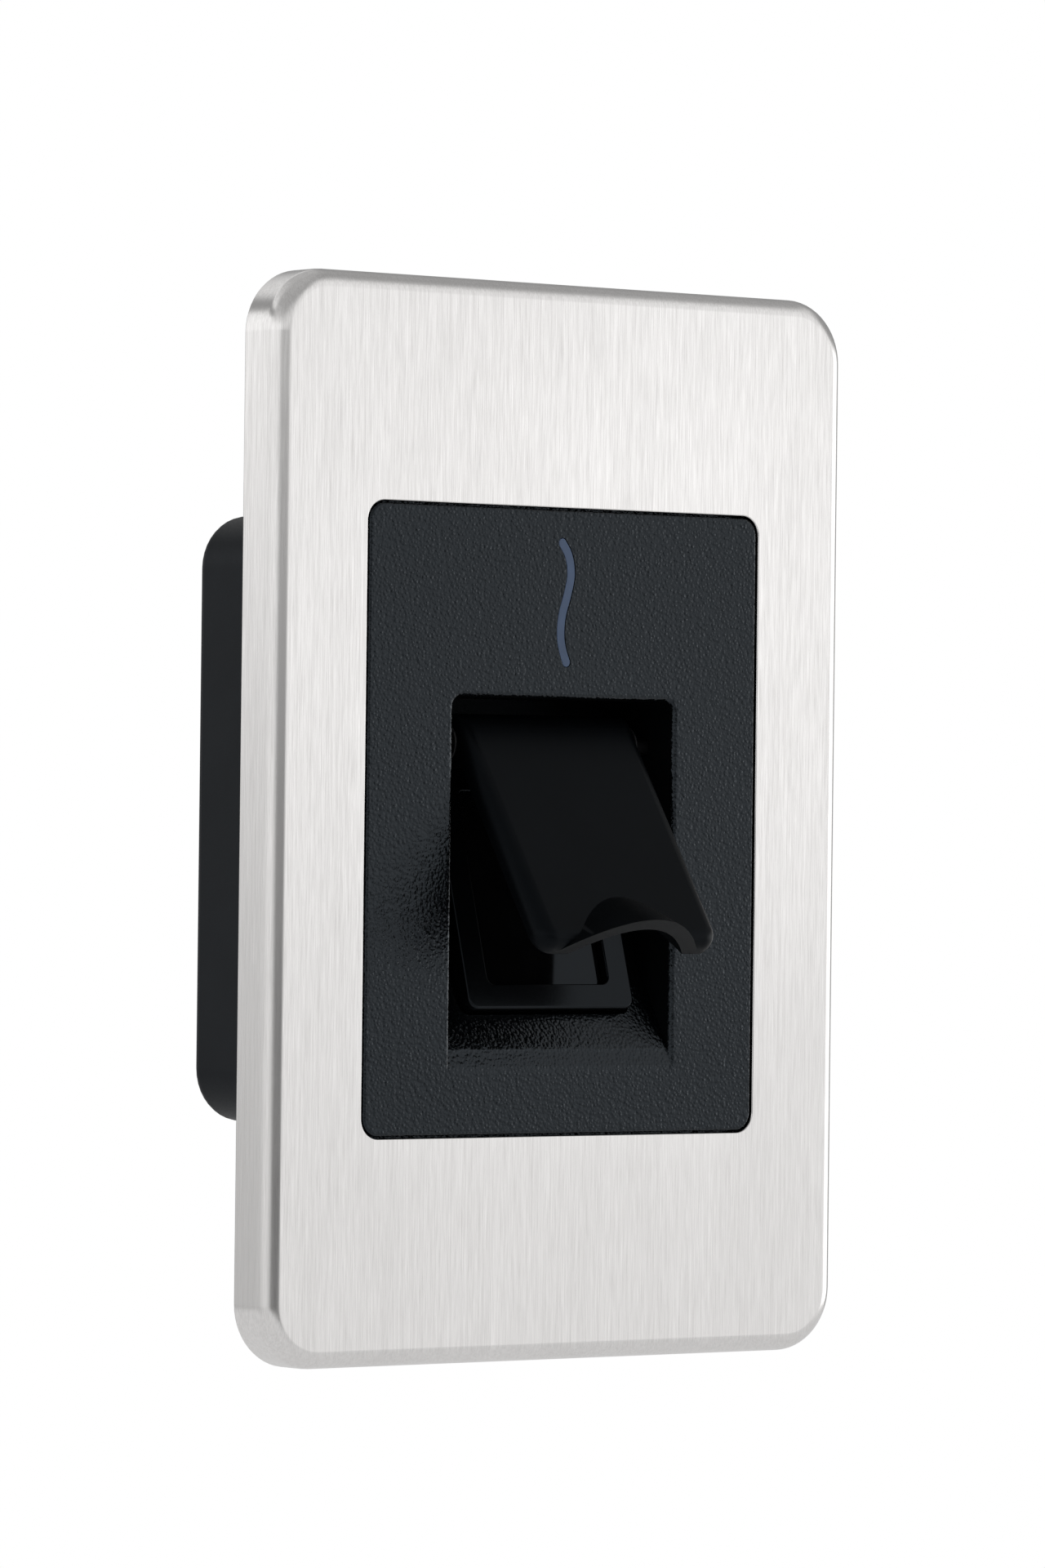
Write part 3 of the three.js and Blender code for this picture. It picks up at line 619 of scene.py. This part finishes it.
# The rounded rim of the recess, whose lower end follows the fold as it rises.
flare = []
for k in range(7):
    a = math.radians(15 * k)
    inset = RECESS_EDGE * (1 - math.cos(a))
    depth = RECESS_EDGE * (1 - math.sin(a))
    flare.append((inset, depth, FLARE_END + FLARE_SLOPE * depth))
flare.append((RECESS_EDGE, -1, FLARE_END))
combine(bezel, loft("recess_edge_tool", [[
    (x, y, FACE - depth) for x, y in round_rect(
        RECESS_W + 2 * inset, RECESS_TOP + inset - end, 0, 0, (RECESS_TOP + inset + end) / 2, 6,
        (RECESS_R + inset, RECESS_R + inset, SQUARE, SQUARE),
    )
] for inset, depth, end in flare]))
pocket = round_rect(FRAME_W + 0.8, FRAME_H + 0.8, 1.4, 0, FRAME_H / 2)
combine(bezel, extruded("pocket_tool", pocket, -9, 9, module_place))

# The wavy strip's path, and the slot it sits in.
strip_low, strip_high = box_mm("light_guide")
WAVE = [
    (-0.60, 32.1), (0.15, 31.0), (0.52, 30.0), (0.66, 29.1), (0.66, 28.2), (0.42, 27.0),
    (-0.02, 25.5), (-0.50, 24.0), (-0.74, 22.4), (-0.70, 20.9), (-0.38, 19.6), (0.10, 18.4),
]


def wavy_outline(width, caps=10):
    """The outline of a strip of some width along the wave, with round ends."""
    path = [Vector(p) for p in smooth_chain(WAVE, 6)]
    left = []
    right = []
    for k, p in enumerate(path):
        run = path[min(k + 1, len(path) - 1)] - path[max(k - 1, 0)]
        side = Vector((-run.y, run.x)).normalized() * width / 2
        left.append(p + side)
        right.append(p - side)

    def cap(start, centre):
        arm = start - centre
        return [centre + Matrix.Rotation(-math.pi * (k + 1) / (caps + 1), 2) @ arm for k in range(caps)]

    outline = left + cap(left[-1], path[-1]) + right[::-1] + cap(right[0], path[0])
    return [tuple(p) for p in outline]


combine(bezel, extruded("slot_tool", wavy_outline(SLOT_WIDTH), -2, FACE + 3))
soften(bezel, 0.16, 3, 34)
bake(bezel)
shade(bezel, 42)
set_look(bezel, GRAINED)
# The recess's walls and deepest part get a smoother copy of the black plastic with a weaker reflection,
# which is painted shade in the recess.
bezel.data.materials.append(RECESS_SMOOTH_SHADED.material)
for face in bezel.data.polygons:
    x, y, z = face.center / MM
    inside = abs(x) < RECESS_W / 2 + 0.02 and RECESS_BOTTOM - 1 < z < RECESS_TOP + 0.02
    wall_face = abs(face.normal.x) > 0.7 or z > 1.6
    if inside and wall_face and y > RECESS_EDGE - FACE:
        face.material_index = 1
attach(bezel, "terminal")
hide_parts("front_bezel")

wave_outline = wavy_outline(STRIP_WIDTH)
strip = loft("wave_strip", [
    [(x, y, strip_low.z) for x, y in wave_outline],
    [(x, y, strip_high.z - STRIP_EDGE) for x, y in wave_outline],
    [(x, y, strip_high.z) for x, y in wavy_outline(STRIP_TOP_WIDTH)],
])
shade(strip, 50)
set_look(strip, DIFFUSER)
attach(strip, "terminal")
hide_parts("light_guide")


# ------------------------------------------------------------------ flip cover
COVER_W = 26.0
COVER_T = 2.6
COVER_EDGE = 1.9
REACH = 29.4
HOOD_RISE = 4.55
HOOD_RUN = 6.1
HOOD_HALF = 8.5
HOOD_WALL = 2.0
BARREL_R = 3.4
PIN_BORE_R = 1.08
LIP_R = 2.3
HINGE = (0.0, -0.56, 8.9)
COVER_TILT = 34
cover_place = tilted(HINGE, COVER_TILT)


def tunnel(name, crest, fall, half, start, end):
    """The thumb hood's tunnel: a parabolic roof whose crest climbs out of the face toward the lip."""
    roof = []
    for k in range(41):
        x = 12 - 24 * k / 40
        roof.append((x, crest - fall * (x / half) ** 2))
    roof += [(-12, -16), (12, -16)]
    rings = [
        [(x, HOOD_RUN * (1 - t) - REACH, z + HOOD_RISE * t) for x, z in roof] for t in (start, end)
    ]
    return loft(name, rings, cover_place)


def cover_ring(inset, z):
    """The cover's outline, square at the barrel and round at the lip."""
    outline = round_rect(COVER_W - 2 * inset, REACH + 6 - inset, 0, 0, (6 - REACH + inset) / 2, 10,
                         (SQUARE, SQUARE, LIP_R - inset, LIP_R - inset))
    return [(x, y, z) for x, y in outline]


rings = [cover_ring(0, -6)]
for k in range(9):
    a = math.radians(90 * k / 8)
    inset = COVER_EDGE * (1 - math.cos(a))
    rings.append(cover_ring(inset, BARREL_R - COVER_EDGE * (1 - math.sin(a))))
cover = loft("flip_cover_shell", rings, cover_place)
back = BARREL_R - COVER_T
roll = [
    (BARREL_R * math.sin(math.radians(10 * k)), BARREL_R * math.cos(math.radians(10 * k)))
    for k in range(21)
]
roll += [(-3.2, -0.4), (-3.6, back), (-40, back), (-40, BARREL_R + 1), (0, BARREL_R + 1)]
combine(cover, swept("roll_tool", roll, -20, 20, cover_place), "INTERSECT")
soften(cover, 0.3, 3, 40)
bake(cover)
hood = tunnel("hood_tool", BARREL_R, HOOD_RISE, HOOD_HALF, -0.5, 1)
hood_space = round_rect(2 * HOOD_HALF + 4, 14, 0, 0, 7 - REACH, 1)
combine(hood, extruded("hood_space_tool", hood_space, back + 0.3, 12, cover_place), "INTERSECT")
combine(cover, hood, "UNION")
thumb_gap = tunnel("thumb_gap_tool", BARREL_R - HOOD_WALL, HOOD_RISE + 0.6, HOOD_HALF - 0.1, -1, 1.5)
combine(cover, thumb_gap)
soften(cover, 0.28, 3, 50)
bake(cover)
ear_gap = round_rect(COVER_W - 9, 9, 0.3, 0, -1)
combine(cover, extruded("ear_gap_tool", ear_gap, -9, 0.6, cover_place))
bore = [
    (PIN_BORE_R * math.cos(math.radians(15 * k)), PIN_BORE_R * math.sin(math.radians(15 * k)))
    for k in range(24)
]
combine(cover, swept("pin_bore_tool", bore, -20, 20, cover_place))
shade(cover, 35)
set_look(cover, SATIN)
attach(cover, "cover")
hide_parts("flip_cover")


# ------------------------------------------------------------------ sensor frame
GLASS_W = 17.7
GLASS_H = 23.1
GLASS_R = 1.0
GLASS_LOW = 2.9
WINDOW_MID = GLASS_LOW + GLASS_H / 2
FRAME_R = 1.3
FRAME_FILLET = 0.3
GLASS_FILLET = 0.2
FRAME_BACK = -3.0


def frame_ring(w, h, r, z, cy=FRAME_H / 2):
    """A rounded rectangle of the sensor frame."""
    return [(x, y, z) for x, y in round_rect(w, h, r, 0, cy, 8)]


rings = [frame_ring(FRAME_W, FRAME_H, FRAME_R, FRAME_BACK)]
for k in range(6):
    a = math.radians(18 * k)
    inset = FRAME_FILLET * (1 - math.cos(a))
    z = FRAME_FILLET * math.sin(a) - FRAME_FILLET
    rings.append(frame_ring(FRAME_W - 2 * inset, FRAME_H - 2 * inset, FRAME_R - inset, z))
for k in range(5):
    a = math.radians(22.5 * k)
    inset = GLASS_FILLET * (1 - math.sin(a))
    z = GLASS_FILLET * math.cos(a) - GLASS_FILLET
    rings.append(frame_ring(GLASS_W + 2 * inset, GLASS_H + 2 * inset, GLASS_R + inset, z, WINDOW_MID))
rings.append(frame_ring(GLASS_W, GLASS_H, GLASS_R, FRAME_BACK, WINDOW_MID))
collar = loft("sensor_collar", rings, module_place, closed=True)
shade(collar, 50)
set_look(collar, FRAME_BLACK)
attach(collar, "terminal")
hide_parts("sensor_frame")


# ------------------------------------------------------------------ rear housing
low, high = box_mm("rear_housing")
BOX_W = high.x - low.x
BOX_H = high.y - low.y
BOX_R = 6.3
BOX_WALL = 2
BOX_FILLET = 1.6
POST_R = 3.6
POST_TOP = -8.3
COUNTERBORE_R = 2.5
COUNTERBORE_END = -12
SCREW_HOLE_R = 1.35
STANDOFF_R = 2.3
STANDOFF_TOP = -24.3
PILOT_R = 0.9
rear = low.z
rim = high.z
levels = rounded_levels(BOX_W, BOX_H, BOX_R, -rim, -rear, BOX_FILLET, 6)
rings = [[(x, y, -z) for x, y, z in ring] for ring in levels]
housing = loft("housing_shell", rings)
hollow = round_rect(BOX_W - 2 * BOX_WALL, BOX_H - 2 * BOX_WALL, BOX_R - BOX_WALL)
combine(housing, extruded("cavity_tool", hollow, rear + BOX_WALL, rim + 2))
for number in range(1, 5):
    cx, cy = centre_mm(f"housing_screw_{number}")
    post = loft("post_tool", [ring_of(POST_R, z, cx, cy, 40) for z in (rear + 1.8, POST_TOP)])
    combine(post, loft("trim_tool", rings), "INTERSECT")
    combine(housing, post, "UNION")
    counterbore = [ring_of(COUNTERBORE_R, z, cx, cy, 40) for z in (rear - 1, COUNTERBORE_END)]
    combine(housing, loft("counterbore_tool", counterbore))
    screw_hole = [ring_of(SCREW_HOLE_R, z, cx, cy, 24) for z in (-14, -7)]
    combine(housing, loft("screw_hole_tool", screw_hole))
for number in (1, 2):
    cx, cy = centre_mm(f"board_screw_{number}")
    standoff = [ring_of(STANDOFF_R, z, cx, cy, 32) for z in (rear + 1.5, STANDOFF_TOP)]
    combine(housing, loft("standoff_tool", standoff), "UNION")
    combine(housing, loft("pilot_tool", [ring_of(PILOT_R, z, cx, cy, 16) for z in (-30, -24)]))
for node, gap in (("bus_socket", 0.4), ("power_socket", 0.4), ("dip_switch_body", 0.5)):
    low, high = box_mm(node)
    window = round_rect(high.x - low.x + 2 * gap, high.y - low.y + 2 * gap, 0.3, *centre_mm(node), 3)
    combine(housing, extruded("window_tool", window, rear - 1, rear + 3))
soften(housing, 0.2, 2, 40)
bake(housing)
shade(housing, 40)
set_look(housing, HOUSING)
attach(housing, "terminal")
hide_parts("rear_housing")


# ------------------------------------------------------------------ pieces whose CAD shape stays
WELD_REACH = 0.000001
CAD_EDGE = 0.12
KEPT = {
    INNER: ("optics_chamber", "lens_barrel"),
    GLASS: ("platen_prism",),
    LENS: ("lens_element",),
    RUBBER: ("panel_seal", "housing_gasket"),
    ACETAL: ("friction_washer_left", "friction_washer_right"),
    BLACK_OXIDE: ("hinge_pin",),
    ZINC: (
        "mounting_bracket", "security_screw", "stud_nut_1", "stud_nut_2", "stud_nut_3",
        "stud_nut_4", "housing_screw_1", "housing_screw_2", "housing_screw_3", "housing_screw_4",
        "module_screw_1", "module_screw_2", "sensor_board_screw_1", "sensor_board_screw_2",
        "indicator_screw_1", "indicator_screw_2", "board_screw_1", "board_screw_2",
    ),
    LAMINATE: ("main_board", "image_sensor_board", "illumination_board", "indicator_board"),
    EPOXY: ("mcu_chip", "memory_chip", "transceiver_chip", "image_sensor_chip", "buzzer"),
    LED_BODY: ("illumination_led_1", "illumination_led_2", "indicator_led_1", "indicator_led_2"),
    GREEN_PLUG: ("bus_socket",),
    WHITE_PLUG: ("power_socket", "dip_slider_1", "dip_slider_2", "dip_slider_3", "dip_slider_4"),
    DIP_RED: ("dip_switch_body",),
    CAN: ("crystal_can", "capacitor"),
    FERRITE: ("inductor",),
    FILM: ("sensor_ribbon", "indicator_ribbon"),
}
for look, names in KEPT.items():
    for name in names:
        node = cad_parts[name]
        set_look(node, look)
        weld = node.modifiers.new("weld", "WELD")
        weld.merge_threshold = WELD_REACH
        soften(node, CAD_EDGE, 2, 40)


# ------------------------------------------------------------------ stage and light
def plane(name, width, depth, location):
    """A level rectangle."""
    bm = bmesh.new()
    corners = ((-1, -1), (1, -1), (1, 1), (-1, 1))
    bm.faces.new([bm.verts.new((x * width / 2, y * depth / 2, 0)) for x, y in corners])
    obj = new_object(name, bm)
    obj.location = location
    return obj


FLOOR_SIZE = 2.8
FLOOR_LEVEL = -0.30
FLOOR_GLOW = 0.18
floor = plane("pale_floor", FLOOR_SIZE, FLOOR_SIZE, (0, 0, FLOOR_LEVEL))
floor_look = Look("pale_floor", 0.9)
speckle = floor_look.noise(300, 300, 300, 2, 0.5)
floor_look.colour(floor_look.ramp(speckle, (0.3, (0.90, 0.90, 0.90)), (0.7, (0.94, 0.94, 0.94))))
floor_look.shader.inputs["Emission Color"].default_value = (1, 1, 1, 1)
floor_look.shader.inputs["Emission Strength"].default_value = FLOOR_GLOW
set_look(floor, floor_look)


# The studio's brightness by height, from -1 straight down to 1 straight up, in each direction.
SKY_RIGHT = (
    (-1.0, 0.28), (-0.34, 0.26), (-0.20, 0.76), (0.0, 0.87), (0.25, 0.88), (0.45, 0.84),
    (0.60, 0.68), (0.70, 0.45), (0.80, 0.34), (1.0, 0.42),
)
SKY_SIDE = (
    (-1.0, 0.30), (-0.25, 0.50), (-0.10, 2.0), (0.08, 2.0), (0.20, 0.35), (0.6, 0.30), (1.0, 0.42),
)
SKY_MIDDLE = (
    (-1.0, 0.30), (-0.25, 0.18), (-0.05, 0.10), (0.01, 0.12), (0.045, 0.28), (0.075, 0.80),
    (0.14, 0.85), (0.30, 0.60), (0.50, 0.38), (1.0, 0.45),
)
SKY_LEFT = (
    (-1.0, 0.30), (-0.25, 0.45), (-0.05, 0.72), (0.02, 0.85), (0.08, 1.0), (0.20, 1.0),
    (0.42, 0.60), (0.72, 0.40), (1.0, 0.45),
)
SKY_BEHIND_LEFT = (
    (-1.0, 0.25), (-0.20, 0.40), (-0.05, 0.48), (0.0, 0.64), (0.035, 0.88), (0.07, 1.04),
    (0.36, 0.98), (0.43, 0.28), (0.53, 0.26), (0.60, 0.85), (0.80, 0.60), (1.0, 0.50),
)
SKY_BEHIND_RIGHT = (
    (-1.0, 0.25), (0.0, 0.30), (0.20, 0.32), (0.40, 0.42), (0.53, 0.62), (0.62, 0.85),
    (0.72, 0.45), (1.0, 0.50),
)
SKY_BEHIND_EDGE = ((-1.0, 0.25), (0.0, 0.32), (0.6, 0.32), (1.0, 0.45))
WHITE = (1, 1, 1, 1)


def studio_sky():
    """Lights the object by the tables above, faded into each other, and is plain white where it is seen."""
    world = bpy.data.worlds.new("studio")
    world.use_nodes = True
    bpy.context.scene.world = world
    nodes = world.node_tree.nodes
    links = world.node_tree.links
    split = nodes.new("ShaderNodeSeparateXYZ")
    links.new(nodes.new("ShaderNodeTexCoord").outputs["Generated"], split.inputs["Vector"])

    def by_height(stops):
        lift = nodes.new("ShaderNodeMapRange")
        lift.inputs["From Min"].default_value = -1
        links.new(split.outputs["Z"], lift.inputs["Value"])
        node = nodes.new("ShaderNodeValToRGB")
        for k, (z, value) in enumerate(stops):
            at = (z + 1) / 2
            stop = node.color_ramp.elements[k] if k < 2 else node.color_ramp.elements.new(at)
            stop.position = at
            stop.color = (value, value, value, 1)
        links.new(lift.outputs["Result"], node.inputs["Fac"])
        return node.outputs["Color"]

    def mixer(share):
        """A colour mix, as its node's two colour inputs and its colour output."""
        node = nodes.new("ShaderNodeMix")
        node.data_type = "RGBA"
        links.new(share, node.inputs["Factor"])
        first, second = [socket for socket in node.inputs if socket.type == "RGBA"]
        result, = [socket for socket in node.outputs if socket.type == "RGBA"]
        return first, second, result

    def fade(a, b, axis, start, end):
        """From a to b as a direction's axis goes from start to end."""
        share = nodes.new("ShaderNodeMapRange")
        share.interpolation_type = "SMOOTHSTEP"
        share.inputs["From Min"].default_value = start
        share.inputs["From Max"].default_value = end
        links.new(split.outputs[axis], share.inputs["Value"])
        first, second, result = mixer(share.outputs["Result"])
        links.new(a, first)
        links.new(b, second)
        return result

    middle = by_height(SKY_MIDDLE)
    front_right = fade(middle, by_height(SKY_RIGHT), "X", 0.28, 0.46)
    front_left = fade(by_height(SKY_LEFT), middle, "X", -0.90, -0.40)
    front = fade(front_left, front_right, "X", -0.2, 0.0)
    front = fade(front, by_height(SKY_SIDE), "X", 0.78, 0.90)
    behind = fade(by_height(SKY_BEHIND_LEFT), by_height(SKY_BEHIND_RIGHT), "X", -0.25, 0.05)
    behind = fade(behind, by_height(SKY_BEHIND_EDGE), "X", 0.38, 0.56)
    lit, seen, result = mixer(nodes.new("ShaderNodeLightPath").outputs["Is Camera Ray"])
    links.new(fade(front, behind, "Y", -0.15, 0.30), lit)
    seen.default_value = WHITE
    links.new(result, nodes["Background"].inputs["Color"])


studio_sky()


def softbox(name, direction, distance, width, height, radiance):
    """An area light in a direction from the object, facing it and not seen directly."""
    data = bpy.data.lights.new(name, "AREA")
    data.shape = "RECTANGLE"
    data.size = width
    data.size_y = height
    data.energy = radiance * math.pi * width * height
    light = bpy.data.objects.new(name, data)
    way = Vector(direction).normalized()
    light.location = way * distance
    light.rotation_euler = way.to_track_quat("Z", "Y").to_euler()
    light.visible_camera = False
    bpy.context.collection.objects.link(light)


softbox("key", direction=(0.635, -0.770, 0.062), distance=1.2, width=0.20, height=0.20, radiance=0.27)

view = bpy.context.scene.view_settings
view.view_transform = "Standard"
view.look = "None"
